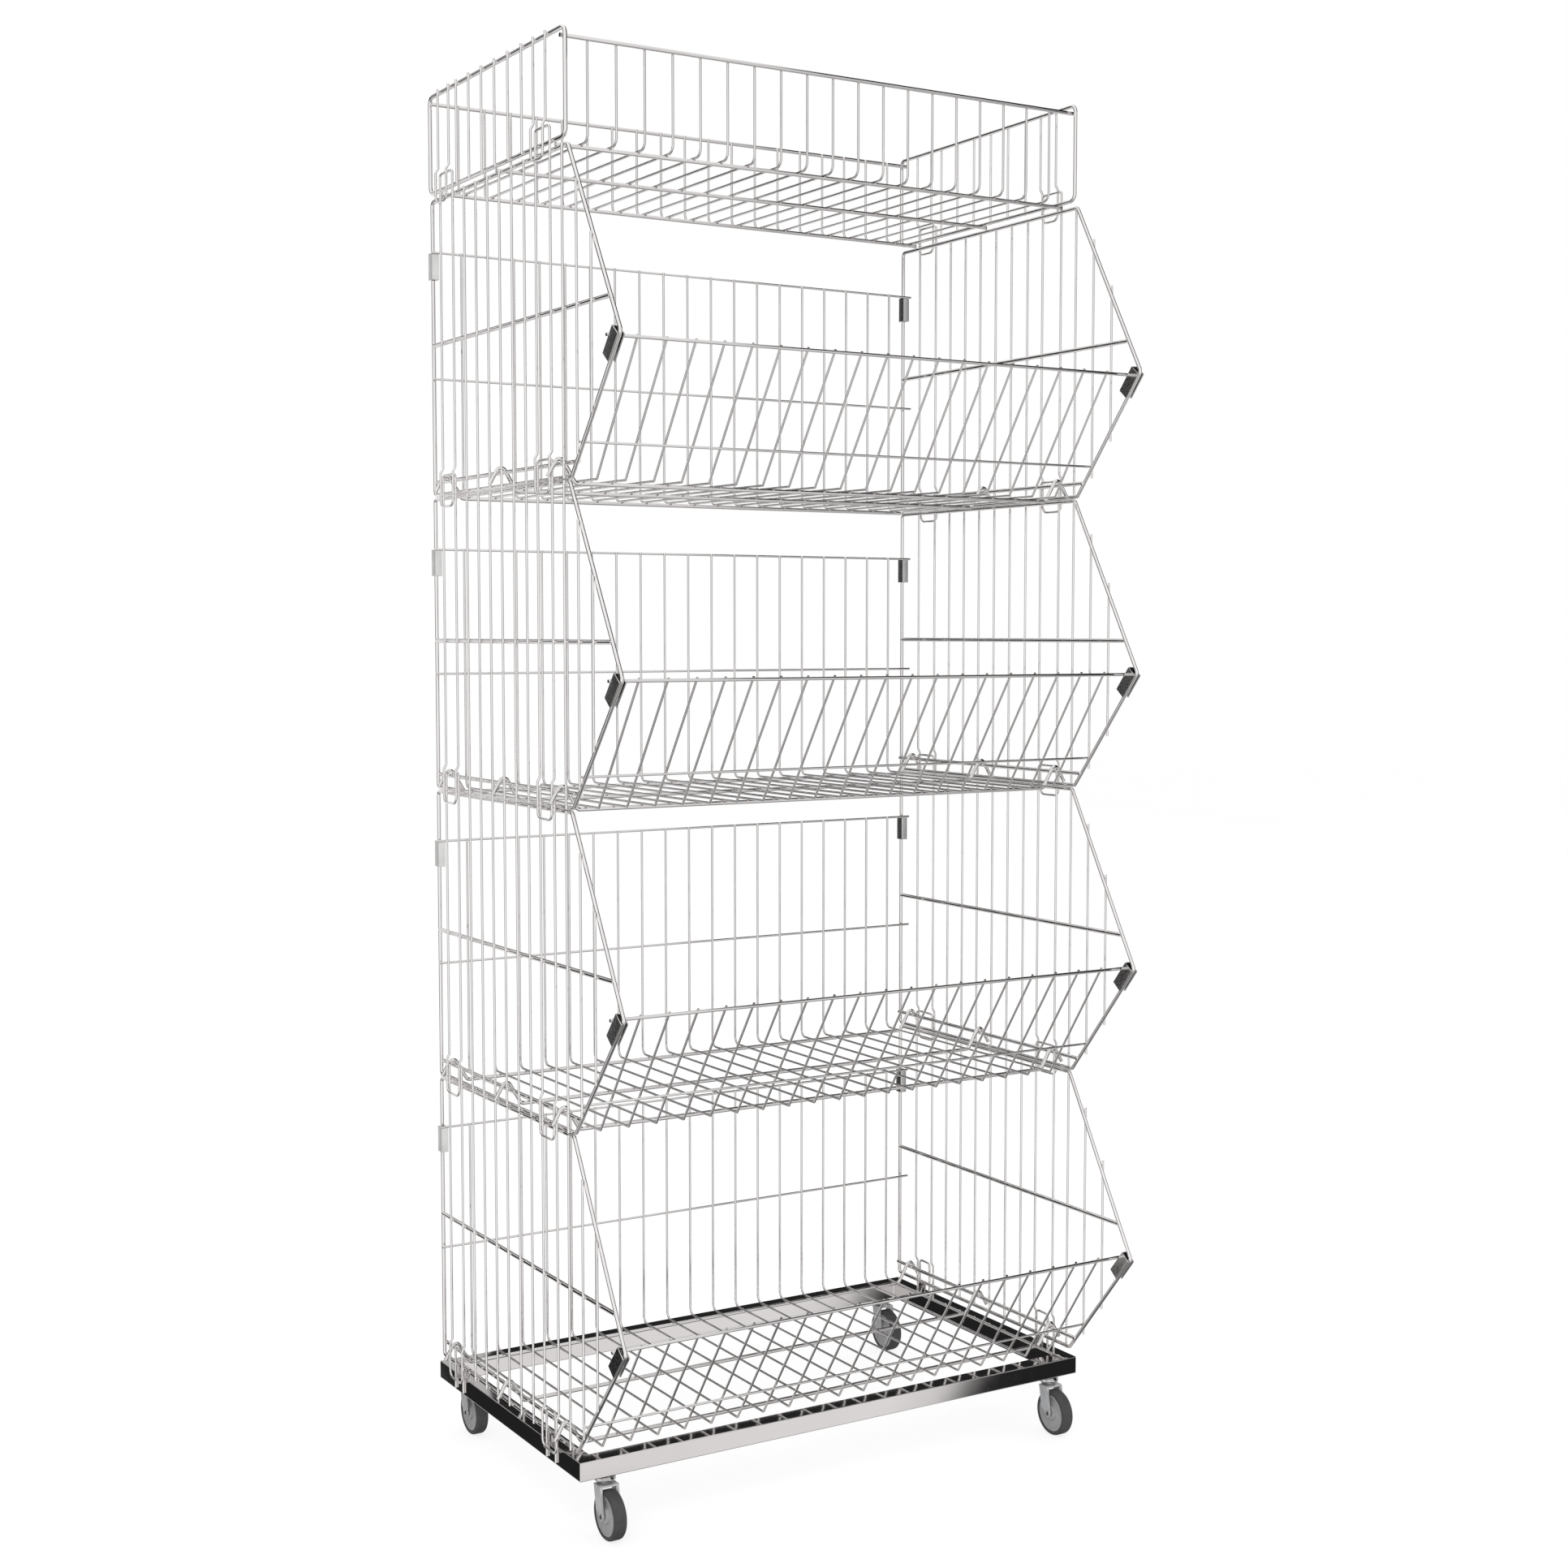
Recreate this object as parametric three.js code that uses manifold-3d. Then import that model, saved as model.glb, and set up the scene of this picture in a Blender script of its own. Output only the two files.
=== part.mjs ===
import * as THREE from "three";
import Module from "manifold-3d";

// Sizes in millimetres. X runs left to right, Y from front (negative) to rear, Z upwards.
// While building, Y is 0 at the rear posts and Z is 0 where the lowest basket's bottom rod rests.
const TIERS = 4;
const TIER_PITCH = 380;
const WIDTH = 733.4;

const ROD_D = 5;
const MID_ROD_D = 5.4;
const WIRE_D = 3;
const WELD = 0.4;
const GAP = 0.3;

const SIDE_TOP_FRONT_Y = -403;
const NOSE_Y = -532.5;
const NOSE_Z = 156;
const SIDE_FOOT_Y = -408;
const FRAME_BEND = 5.5;
const NOSE_BEND = 6;
const MID_ROD_Z = 197;
const HANG_ROD_Z = 22;
const HANG_ROD_IN = 3;

const REAR_PAIR_Y = -37;
const REAR_PAIR_WIDTH = 40;
const FRONT_PAIR_Y = -324.5;
const FRONT_PAIR_WIDTH = 39.5;
const UPRIGHTS = 6;
const UPRIGHT_FIRST_Y = -113.5;
const UPRIGHT_PITCH = 35.7;
const FRONT_UPRIGHT_Y = -395.5;
const SLANT_SHARES = [0.224, 0.51];
const HAIRPIN_TOP = 28.4;
const HAIRPIN_BEND = 5;
const GUIDE_DROP = 11.6;
const GUIDE_BEND = 9;
const GUIDE_JOG = 6;
const FLAT_TIP = 1.5;
const SLANT_TIP = 6;

const TRAY_WIRES = 19;
const END_WIRE_IN = 33.7;
const TRAY_BACK_Y = -13;
const TRAY_BACK_TOP = 315;
const TRAY_BACK_MID = 154;
const TRAY_FLOOR_Z = 4;
const TRAY_BEND = 10;
const FRONT_RAIL_Z = 155.5;
const FRONT_RAIL_D = 4;
const RAIL_FROM_NOSE = 25.5;
const FRONT_LOW_Z = 44.5;
const CROSS_WIRE_OUT = 6.3;
const FRONT_TIP = 1.6;
const TIE_WELD = 0.25;

const HOOK_CLEAR = 5.4;
const HOOK_SLOPE = 0.59;
const HOOK_END_Z = 8;
const HOOK_FOOT_BEND = 6;
const HOOK_STEPS = 2;

const CLIP_SHEET = 1.5;
const CLIP_LENGTH = 37;
const CLIP_FROM_NOSE = 2;
const CLIP_LIP = 3;
const REAR_CLIP_HEIGHT = 34;
const REAR_CLIP_LIP = 4;
const CLIP_SIDE_AIR = 0.8;

const TOP_REAR_Y = 5;
const TOP_FRONT_Y = -397;
const TOP_HEIGHT = 122;
const TOP_RAIL_DROP = 9;
const TOP_WALL_IN = 12;
const TOP_FRAME_BEND = 9;
const TOP_FLOOR_BEND = 10;
const TOP_GUIDE_DROP = 7;
const TOP_REAR_PAIR_Y = -30.4;
const TOP_REAR_PAIR_WIDTH = 34.5;
const TOP_FRONT_PAIR_Y = -319;
const TOP_FRONT_PAIR_WIDTH = 33;
const TOP_UPRIGHT_FIRST_Y = -90;
const TOP_UPRIGHT_PITCH = 39.2;
const TOP_TIP = 4;

const BASE_REAR_Y = 9.3;
const BASE_FRONT_Y = -418.6;
const BASE_TOP_Z = -5.3;
const TUBE = 23;
const TUBE_WALL = 1.5;
const BASE_PIN_TOP = 35;
const BASE_PIN_WIDTH = 25;
const BASE_PIN_REAR_Y = -60;
const BASE_PIN_FRONT_Y = -342;
const BASE_PIN_FOOT = 3.6;
const SEAT_LENGTH = 14;
const SEAT_SHEET = 3;

const CASTOR_IN = 34.7;
const CASTOR_HOLE_R = 4;
const CASTOR_TRAIL = 14.3;
const HEAD_R = 13.2;
const HEAD_H = 9.6;
const FORK_WIDTH = 25;
const FORK_SHEET = 2;
const FORK_REAR = 4.6;
const FORK_FRONT = 13;
const FORK_HEEL = 0.8;
const FORK_HEEL_UP = 6;
const FORK_FLANGE = 3.6;
const FORK_EYE_R = 5;
const AXLE_DROP = 45.3;
const AXLE_R = 3;
const AXLE_END = 0.5;
const WHEEL_R = 30;
const WHEEL_WIDTH = 16.5;
const TREAD_WIDTH = 12;
const TREAD_STEP = 3;
const TYRE_FACETS = 20;
const CORE_R = 24.3;
const CORE_RIM = 3;
const CORE_RIM_IN = 1;
const HUB_R = 9;
const HUB_WIDTH = 17;
const CORE_WEB = 10;

// Heights and planes that follow from the sizes above.
const SIDE_X = WIDTH / 2;
const WIRE_PITCH = (WIDTH - 2 * END_WIRE_IN) / (TRAY_WIRES - 1);
const CROSS_WIRE_X = SIDE_X + CROSS_WIRE_OUT;
const CASTOR_X = SIDE_X - CASTOR_IN;
const BOTTOM_ROD_Z = ROD_D + GAP;
const LOOP_X = SIDE_X + ROD_D / 2 + GAP + WIRE_D / 2;
const GUIDE_X = LOOP_X + WIRE_D + GAP;
const HANG_X = SIDE_X - HANG_ROD_IN;
const SQUARE_REACH = (WIRE_D / 2) * Math.SQRT1_2;
const WELDED = SQUARE_REACH - WELD;
const TIED = WIRE_D / 2 - TIE_WELD;
const TOP_Z = TIERS * TIER_PITCH;
const BASE_X = LOOP_X - WIRE_D / 2 + WELD;
const BASE_BOTTOM_Z = BASE_TOP_Z - TUBE;
const CASTOR_FRONT_Y = BASE_FRONT_Y + TUBE / 2;
const CASTOR_REAR_Y = BASE_REAR_Y - TUBE / 2;
const HEAD_TOP_Z = BASE_BOTTOM_Z - GAP;
const AXLE_Z = BASE_BOTTOM_Z - AXLE_DROP;
const HOOK_Y = [
  REAR_PAIR_Y + HOOK_CLEAR,
  UPRIGHT_FIRST_Y - ((UPRIGHTS - 1) / 2) * UPRIGHT_PITCH,
  FRONT_PAIR_Y - FRONT_PAIR_WIDTH - HOOK_CLEAR,
];

const STEEL = { color: 0xc9cbcd, metalness: 1, roughness: 0.18 };
const POLISHED = { color: 0xd4d6d8, metalness: 1, roughness: 0.08 };
const ZINC = { color: 0xb4b7ba, metalness: 1, roughness: 0.35 };
const RUBBER = { color: 0x4c4c4d, metalness: 0, roughness: 0.8 };
const PLASTIC = { color: 0x9b9b9d, metalness: 0, roughness: 0.5 };

const wasm = await Module();
wasm.setup();

const vec = (x, y, z) => new THREE.Vector3(x, y, z);
const ACROSS = vec(1, 0, 0);

function solid(points, faces) {
  const vertProperties = new Float32Array(points.flatMap((p) => [p.x, p.y, p.z]));
  const triVerts = new Uint32Array(faces.flat());
  return new wasm.Manifold(new wasm.Mesh({ numProp: 3, vertProperties, triVerts }));
}

function join(pieces) {
  return pieces.reduce((whole, piece) => whole.add(piece));
}

const mirrored = (piece) => piece.mirror([1, 0, 0]);

// Replaces each corner of a path by an arc of the given radius.
function rounded(corners, radius, steps, closed) {
  const count = corners.length;
  const path = [];
  corners.forEach((corner, i) => {
    const open = !closed && (i === 0 || i === count - 1);
    const r = Array.isArray(radius) ? radius[i] : radius;
    if (open || r === 0) {
      path.push(corner.clone());
      return;
    }
    const back = corners[(i + count - 1) % count].clone().sub(corner).normalize();
    const ahead = corners[(i + 1) % count].clone().sub(corner).normalize();
    const half = back.angleTo(ahead) / 2;
    const middle = back.clone().add(ahead).normalize();
    const centre = corner.clone().addScaledVector(middle, r / Math.sin(half));
    const from = corner.clone().addScaledVector(back, r / Math.tan(half)).sub(centre).normalize();
    const to = corner.clone().addScaledVector(ahead, r / Math.tan(half)).sub(centre).normalize();
    const turn = new THREE.Quaternion().setFromUnitVectors(from, to);
    for (let s = 0; s <= steps; s += 1) {
      const part = new THREE.Quaternion().slerp(turn, s / steps);
      path.push(from.clone().applyQuaternion(part).multiplyScalar(r).add(centre));
    }
  });
  return path;
}

// Carries an outline along a path with mitred corners. The outline is given as [along spoke, across it].
function sweep(path, outline, spoke, closed) {
  const count = path.length;
  const sides = outline.length;
  const heading = path.map((p, i) => path[(i + 1) % count].clone().sub(p).normalize());
  const first = heading[0];
  const wing = first.clone().cross(spoke).normalize();
  const slide = (point, along, i) => {
    const before = closed || i > 0 ? heading[(i + count - 1) % count] : heading[i];
    const after = closed || i < count - 1 ? heading[i] : before;
    const normal = before.clone().add(after);
    const step = path[i].clone().sub(point).dot(normal) / along.dot(normal);
    return point.clone().addScaledVector(along, step);
  };
  let ring = outline.map(([a, b]) => {
    const point = path[0].clone().addScaledVector(spoke, a).addScaledVector(wing, b);
    return slide(point, first, 0);
  });
  const points = [...ring];
  for (let i = 1; i < count; i += 1) {
    ring = ring.map((point) => slide(point, heading[i - 1], i));
    points.push(...ring);
  }
  const faces = [];
  const spans = closed ? count : count - 1;
  for (let i = 0; i < spans; i += 1) {
    const here = i * sides;
    const next = ((i + 1) % count) * sides;
    for (let k = 0; k < sides; k += 1) {
      const k2 = (k + 1) % sides;
      faces.push([here + k, here + k2, next + k2], [here + k, next + k2, next + k]);
    }
  }
  if (!closed) {
    const last = (count - 1) * sides;
    for (let k = 1; k < sides - 1; k += 1) {
      faces.push([0, k + 1, k], [last, last + k, last + k + 1]);
    }
  }
  return solid(points, faces);
}

function polygon(diameter, sides) {
  return Array.from({ length: sides }, (_, k) => {
    const angle = (2 * Math.PI * k) / sides;
    return [(diameter / 2) * Math.cos(angle), (diameter / 2) * Math.sin(angle)];
  });
}

const rod = (path, diameter = ROD_D, closed = false, spoke = ACROSS) =>
  sweep(path, polygon(diameter, 6), spoke, closed);
const wire = (path, closed = false, spoke = ACROSS) => sweep(path, polygon(WIRE_D, 4), spoke, closed);

function box(lo, hi) {
  return wasm.Manifold.cube([hi[0] - lo[0], hi[1] - lo[1], hi[2] - lo[2]]).translate(lo);
}

// A flat plate cut to a (y, z) outline, between two planes of X.
function plate(outline, x0, x1) {
  const flat = new wasm.CrossSection([outline], "NonZero");
  return flat.extrude(x1 - x0).rotate([90, 0, 90]).translate([x0, 0, 0]);
}

// Points on the side panel's two slanting rods.
const lowerFall = (NOSE_Y - SIDE_FOOT_Y) / (NOSE_Z - BOTTOM_ROD_Z);
const upperFall = (NOSE_Y - SIDE_TOP_FRONT_Y) / (NOSE_Z - TIER_PITCH);
const lowerZ = (y) => BOTTOM_ROD_Z + (y - SIDE_FOOT_Y) / lowerFall;
const upperZ = (y) => TIER_PITCH + (y - SIDE_TOP_FRONT_Y) / upperFall;
const lowerY = (z) => SIDE_FOOT_Y + (z - BOTTOM_ROD_Z) * lowerFall;
const upperY = (z) => SIDE_TOP_FRONT_Y + (z - TIER_PITCH) * upperFall;

// A closed wire loop: a hairpin above the panel, two uprights, and a guide that drops outside the one below.
function stackingLoop(rearY, width) {
  const frontY = rearY - width;
  const jogTop = HAIRPIN_TOP + WIRE_D + GUIDE_JOG;
  const corners = [
    vec(LOOP_X, rearY, TIER_PITCH + HAIRPIN_TOP),
    vec(LOOP_X, frontY, TIER_PITCH + HAIRPIN_TOP),
    vec(LOOP_X, frontY, jogTop),
    vec(GUIDE_X, frontY, jogTop - GUIDE_JOG),
    vec(GUIDE_X, frontY, -GUIDE_DROP),
    vec(GUIDE_X, rearY, -GUIDE_DROP),
    vec(GUIDE_X, rearY, jogTop - GUIDE_JOG),
    vec(LOOP_X, rearY, jogTop),
  ];
  const bends = [HAIRPIN_BEND, HAIRPIN_BEND, 0, 0, GUIDE_BEND, GUIDE_BEND, 0, 0];
  return wire(rounded(corners, bends, 1, true), true);
}

function upright(y) {
  const low = y > SIDE_FOOT_Y ? BOTTOM_ROD_Z - FLAT_TIP : lowerZ(y) - SLANT_TIP;
  const high = y > SIDE_TOP_FRONT_Y ? TIER_PITCH + FLAT_TIP : upperZ(y) + SLANT_TIP;
  return wire([vec(LOOP_X, y, low), vec(LOOP_X, y, high)]);
}

// The right-hand side panel. Its uprights are welded to the middle rod and just clear the other rods.
function sidePanel() {
  const corners = [
    vec(SIDE_X, 0, TIER_PITCH),
    vec(SIDE_X, SIDE_TOP_FRONT_Y, TIER_PITCH),
    vec(SIDE_X, NOSE_Y, NOSE_Z),
    vec(SIDE_X, SIDE_FOOT_Y, BOTTOM_ROD_Z),
    vec(SIDE_X, 0, BOTTOM_ROD_Z),
  ];
  const bends = [FRAME_BEND, FRAME_BEND, NOSE_BEND, FRAME_BEND, FRAME_BEND];
  const frame = rod(rounded(corners, bends, 2, true), ROD_D, true);
  const midX = LOOP_X - WIRE_D / 2 + WELD - MID_ROD_D / 2;
  const midPath = [vec(midX, -WELD, MID_ROD_Z), vec(midX, upperY(MID_ROD_Z) + WELD, MID_ROD_Z)];
  const middle = rod(midPath, MID_ROD_D);
  const hanging = rod([vec(HANG_X, -WELD, HANG_ROD_Z), vec(HANG_X, lowerY(HANG_ROD_Z) + WELD, HANG_ROD_Z)]);
  const loops = [
    stackingLoop(REAR_PAIR_Y, REAR_PAIR_WIDTH),
    stackingLoop(FRONT_PAIR_Y, FRONT_PAIR_WIDTH),
  ];
  const uprightsY = [
    ...Array.from({ length: UPRIGHTS }, (_, k) => UPRIGHT_FIRST_Y - k * UPRIGHT_PITCH),
    FRONT_UPRIGHT_Y,
    ...SLANT_SHARES.map((share) => SIDE_TOP_FRONT_Y + share * (NOSE_Y - SIDE_TOP_FRONT_Y)),
  ];
  return join([frame, middle, hanging, ...loops, ...uprightsY.map(upright)]);
}

// The side panel's lower slanting rod, as a direction in (y, z) and the normal that points into the basket.
const slantRun = Math.hypot(NOSE_Y - SIDE_FOOT_Y, NOSE_Z - BOTTOM_ROD_Z);
const slant = [(NOSE_Y - SIDE_FOOT_Y) / slantRun, (NOSE_Z - BOTTOM_ROD_Z) / slantRun];
const inward = [slant[1], -slant[0]];

// The tray's slanting front: its rail stays near the nose, and its low wire just inside the slanting rod.
const lowWireIn = (ROD_D / 2 + GAP + WIRE_D + TIED) / inward[0];
const frontLowY = lowerY(FRONT_LOW_Z) + lowWireIn;
const frontLean = (frontLowY - NOSE_Y - RAIL_FROM_NOSE) / (FRONT_RAIL_Z - FRONT_LOW_Z);
const frontY = (z) => frontLowY - frontLean * (z - FRONT_LOW_Z);
const leanLength = Math.hypot(1, frontLean);
const frontNormal = [-1 / leanLength, -frontLean / leanLength];

const wireX = Array.from({ length: TRAY_WIRES }, (_, k) => (k - (TRAY_WIRES - 1) / 2) * WIRE_PITCH);
const isTie = (k) => k === 0 || k === (TRAY_WIRES - 1) / 2 || k === TRAY_WIRES - 1;

// The first, middle and last wires are turned on edge, to reach the cross wires set further off.
const wireSpoke = (k) => (isTie(k) ? ACROSS : vec(1, 1, 0).normalize());

function frontCross(z, diameter, reach, end) {
  const off = diameter / 2 + reach;
  const y = frontY(z) + frontNormal[0] * off;
  const lift = z + frontNormal[1] * off;
  const spoke = vec(0, frontNormal[0], frontNormal[1]);
  return sweep([vec(-end, y, lift), vec(end, y, lift)], polygon(diameter, 4), spoke, false);
}

function backCross(z) {
  const y = TRAY_BACK_Y + WIRE_D / 2 + TIED;
  return wire([vec(-CROSS_WIRE_X, y, z), vec(CROSS_WIRE_X, y, z)], false, vec(0, 1, 0));
}

// A floor rod with both ends bent into hooks that hang over the side panels' hanging rods.
function hookRod(y) {
  const z = TRAY_FLOOR_Z - ROD_D / 2 - TIED;
  const hookTurn = Math.PI - 2 * Math.atan(HOOK_SLOPE);
  const hookR = (ROD_D + GAP) / Math.cos(hookTurn / (2 * HOOK_STEPS));
  const apexZ = HANG_ROD_Z + hookR * Math.hypot(1, 1 / HOOK_SLOPE);
  const foot = HANG_X - HOOK_SLOPE * (apexZ - z);
  const end = HANG_X + HOOK_SLOPE * (apexZ - HOOK_END_Z);
  const corners = [
    vec(-end, y, HOOK_END_Z),
    vec(-HANG_X, y, apexZ),
    vec(-foot, y, z),
    vec(foot, y, z),
    vec(HANG_X, y, apexZ),
    vec(end, y, HOOK_END_Z),
  ];
  const bends = [0, hookR, HOOK_FOOT_BEND, HOOK_FOOT_BEND, hookR, 0];
  const path = rounded(corners, bends, HOOK_STEPS, false);
  const across = path[1].clone().sub(path[0]).cross(vec(0, 1, 0)).normalize();
  return rod(path, ROD_D, false, across);
}

function trayWire(x, k) {
  const tip = FRONT_RAIL_Z + FRONT_TIP;
  const corners = [
    vec(x, TRAY_BACK_Y, TRAY_BACK_TOP + FLAT_TIP),
    vec(x, TRAY_BACK_Y, TRAY_FLOOR_Z),
    vec(x, frontY(TRAY_FLOOR_Z), TRAY_FLOOR_Z),
    vec(x, frontY(tip), tip),
  ];
  return wire(rounded(corners, [0, TRAY_BEND, 0, 0], 1, false), false, wireSpoke(k));
}

function tray() {
  return join([
    ...wireX.map(trayWire),
    backCross(TRAY_BACK_TOP),
    backCross(TRAY_BACK_MID),
    frontCross(FRONT_RAIL_Z, FRONT_RAIL_D, WELDED, CROSS_WIRE_X),
    frontCross(FRONT_LOW_Z, WIRE_D, TIED, SIDE_X + ROD_D / 2),
    ...HOOK_Y.map(hookRod),
  ]);
}

// A channel of sheet: a web and two flanges, drawn in its own axes and closed at neither end.
function channel(length, depth) {
  const half = ROD_D / 2 + CLIP_SIDE_AIR;
  const outer = half + CLIP_SHEET;
  const outline = [
    [-outer, 0],
    [outer, 0],
    [outer, depth],
    [half, depth],
    [half, CLIP_SHEET],
    [-half, CLIP_SHEET],
    [-half, depth],
    [-outer, depth],
  ];
  return new wasm.CrossSection([outline], "NonZero").extrude(length);
}

// The right-hand front clip sits over the lower slanting rod, with its web against the tray's front rail.
function frontClip() {
  const off = FRONT_RAIL_D / 2 + WELDED;
  const rail = [frontY(FRONT_RAIL_Z) + frontNormal[0] * off, FRONT_RAIL_Z + frontNormal[1] * off];
  const railOff = (rail[0] - NOSE_Y) * inward[0] + (rail[1] - NOSE_Z) * inward[1];
  const webOff = railOff - FRONT_RAIL_D / 2 - GAP;
  const angle = THREE.MathUtils.radToDeg(Math.atan2(-slant[0], slant[1]));
  return channel(CLIP_LENGTH, webOff + CLIP_LIP)
    .mirror([0, 1, 0])
    .translate([0, webOff, -CLIP_LENGTH - CLIP_FROM_NOSE])
    .rotate([angle, 0, 0])
    .translate([SIDE_X, NOSE_Y, NOSE_Z]);
}

// The right-hand rear clip sits round the rear post, just under the tray's top cross wire.
function rearClip() {
  const web = TRAY_BACK_Y + WIRE_D / 2 + TIED + WIRE_D / 2 + GAP;
  return channel(REAR_CLIP_HEIGHT, REAR_CLIP_LIP - web)
    .translate([SIDE_X, web, TRAY_BACK_TOP - REAR_CLIP_HEIGHT]);
}

// The top basket's side: a rounded rectangle of rod with upright wires, the end pairs joined below as guides.
const TOP_BOTTOM_Z = TOP_Z + ROD_D + GAP + ROD_D + GAP;
const topEdgeZ = TOP_BOTTOM_Z + TOP_HEIGHT;

function topGuide(rearY, width) {
  const frontY = rearY - width;
  const jogTop = TOP_Z + HAIRPIN_TOP + WIRE_D + GUIDE_JOG;
  const corners = [
    vec(LOOP_X - WELD - GAP, rearY, topEdgeZ + TOP_TIP),
    vec(LOOP_X - WELD - GAP, rearY, jogTop),
    vec(GUIDE_X, rearY, jogTop - GUIDE_JOG),
    vec(GUIDE_X, rearY, TOP_Z - TOP_GUIDE_DROP),
    vec(GUIDE_X, frontY, TOP_Z - TOP_GUIDE_DROP),
    vec(GUIDE_X, frontY, jogTop - GUIDE_JOG),
    vec(LOOP_X - WELD - GAP, frontY, jogTop),
    vec(LOOP_X - WELD - GAP, frontY, topEdgeZ + TOP_TIP),
  ];
  return wire(rounded(corners, [0, 0, 0, GUIDE_BEND, GUIDE_BEND, 0, 0, 0], 1, false));
}

function topSide() {
  const corners = [
    vec(SIDE_X, TOP_REAR_Y, topEdgeZ),
    vec(SIDE_X, TOP_FRONT_Y, topEdgeZ),
    vec(SIDE_X, TOP_FRONT_Y, TOP_BOTTOM_Z),
    vec(SIDE_X, TOP_REAR_Y, TOP_BOTTOM_Z),
  ];
  const frame = rod(rounded(corners, TOP_FRAME_BEND, 2, true), ROD_D, true);
  const weldedX = LOOP_X - WELD - GAP;
  const uprights = Array.from({ length: UPRIGHTS }, (_, k) => {
    const y = TOP_UPRIGHT_FIRST_Y - k * TOP_UPRIGHT_PITCH;
    return wire([vec(weldedX, y, TOP_BOTTOM_Z - FLAT_TIP), vec(weldedX, y, topEdgeZ + TOP_TIP)]);
  });
  const guides = [
    topGuide(TOP_REAR_PAIR_Y, TOP_REAR_PAIR_WIDTH),
    topGuide(TOP_FRONT_PAIR_Y, TOP_FRONT_PAIR_WIDTH),
  ];
  return join([frame, ...uprights, ...guides]);
}

// The top basket's body: U-shaped wires between two thick rails, on three rods that rest on the tier below.
function topBody() {
  const railZ = topEdgeZ - TOP_RAIL_DROP;
  const floorRodZ = TOP_Z + ROD_D + GAP;
  const floorZ = floorRodZ + ROD_D / 2 + TIED;
  const rearY = TOP_REAR_Y - TOP_WALL_IN;
  const frontWallY = TOP_FRONT_Y + TOP_WALL_IN;
  const railX = SIDE_X + ROD_D / 2;
  const wires = wireX.map((x, k) => {
    const corners = [
      vec(x, rearY, railZ + FLAT_TIP),
      vec(x, rearY, floorZ),
      vec(x, frontWallY, floorZ),
      vec(x, frontWallY, railZ + FLAT_TIP),
    ];
    return wire(rounded(corners, TOP_FLOOR_BEND, 1, false), false, wireSpoke(k));
  });
  const rail = (y) => rod([vec(-railX, y, railZ), vec(railX, y, railZ)], ROD_D, false, vec(0, 1, 0));
  const floorRod = (y) => {
    const path = [vec(-SIDE_X, y, floorRodZ), vec(SIDE_X, y, floorRodZ)];
    return rod(path, ROD_D, false, vec(0, 0, 1));
  };
  return join([
    ...wires,
    rail(rearY + ROD_D / 2 + WELDED),
    rail(frontWallY - ROD_D / 2 - TIED),
    ...HOOK_Y.map(floorRod),
  ]);
}

// The base: a welded ring of square tube, hairpins on its outer sides and seats on top behind them.
function baseFrame() {
  const ringPath = [
    vec(BASE_X, BASE_FRONT_Y, BASE_BOTTOM_Z),
    vec(BASE_X, BASE_REAR_Y, BASE_BOTTOM_Z),
    vec(-BASE_X, BASE_REAR_Y, BASE_BOTTOM_Z),
    vec(-BASE_X, BASE_FRONT_Y, BASE_BOTTOM_Z),
  ];
  const bar = (inset) => {
    const near = -inset;
    const far = inset - TUBE;
    return sweep(ringPath, [[far, near], [far, far], [near, far], [near, near]], ACROSS, true);
  };
  const holes = [-CASTOR_X, CASTOR_X].flatMap((x) =>
    [CASTOR_FRONT_Y, CASTOR_REAR_Y].map((y) => {
      const reach = 2 * TUBE_WALL;
      const hole = [[0, -reach], [CASTOR_HOLE_R, -reach], [CASTOR_HOLE_R, reach], [0, reach]];
      return lathe(hole, 10).translate([x, y, BASE_BOTTOM_Z]);
    })
  );
  const ring = bar(0).subtract(bar(TUBE_WALL)).subtract(join(holes));
  const pin = (y) => {
    const foot = BASE_BOTTOM_Z + BASE_PIN_FOOT;
    const corners = [
      vec(LOOP_X, y + BASE_PIN_WIDTH / 2, foot),
      vec(LOOP_X, y + BASE_PIN_WIDTH / 2, BASE_PIN_TOP),
      vec(LOOP_X, y - BASE_PIN_WIDTH / 2, BASE_PIN_TOP),
      vec(LOOP_X, y - BASE_PIN_WIDTH / 2, foot),
    ];
    return wire(rounded(corners, HAIRPIN_BEND, 1, false));
  };
  const seat = (y) => {
    const top = BOTTOM_ROD_Z - ROD_D / 2 - GAP;
    const lo = [SIDE_X - SEAT_SHEET / 2, y - SEAT_LENGTH / 2, BASE_TOP_Z - WELD];
    return box(lo, [SIDE_X + SEAT_SHEET / 2, y + SEAT_LENGTH / 2, top]);
  };
  const right = [BASE_PIN_REAR_Y, BASE_PIN_FRONT_Y].flatMap((y) => [pin(y), seat(y)]);
  return join([ring, ...right, ...right.map(mirrored)]);
}

function lathe(profile, segments) {
  const flat = new wasm.CrossSection([profile], "NonZero");
  return flat.revolve(segments);
}

// A castor, built round its swivel axis, with the wheel trailing to the front as in the photograph.
function castorHead() {
  const profile = [
    [0, -HEAD_H],
    [HEAD_R * 0.72, -HEAD_H],
    [HEAD_R, -HEAD_H * 0.62],
    [HEAD_R, -HEAD_H * 0.25],
    [HEAD_R * 0.8, 0],
    [0, 0],
  ];
  return lathe(profile, 16).translate([0, 0, HEAD_TOP_Z]);
}

// Wheel pieces are turned about their own axis and then laid along X at the axle.
const onAxle = (piece) => piece.rotate([0, 90, 0]).translate([0, -CASTOR_TRAIL, AXLE_Z]);

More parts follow.
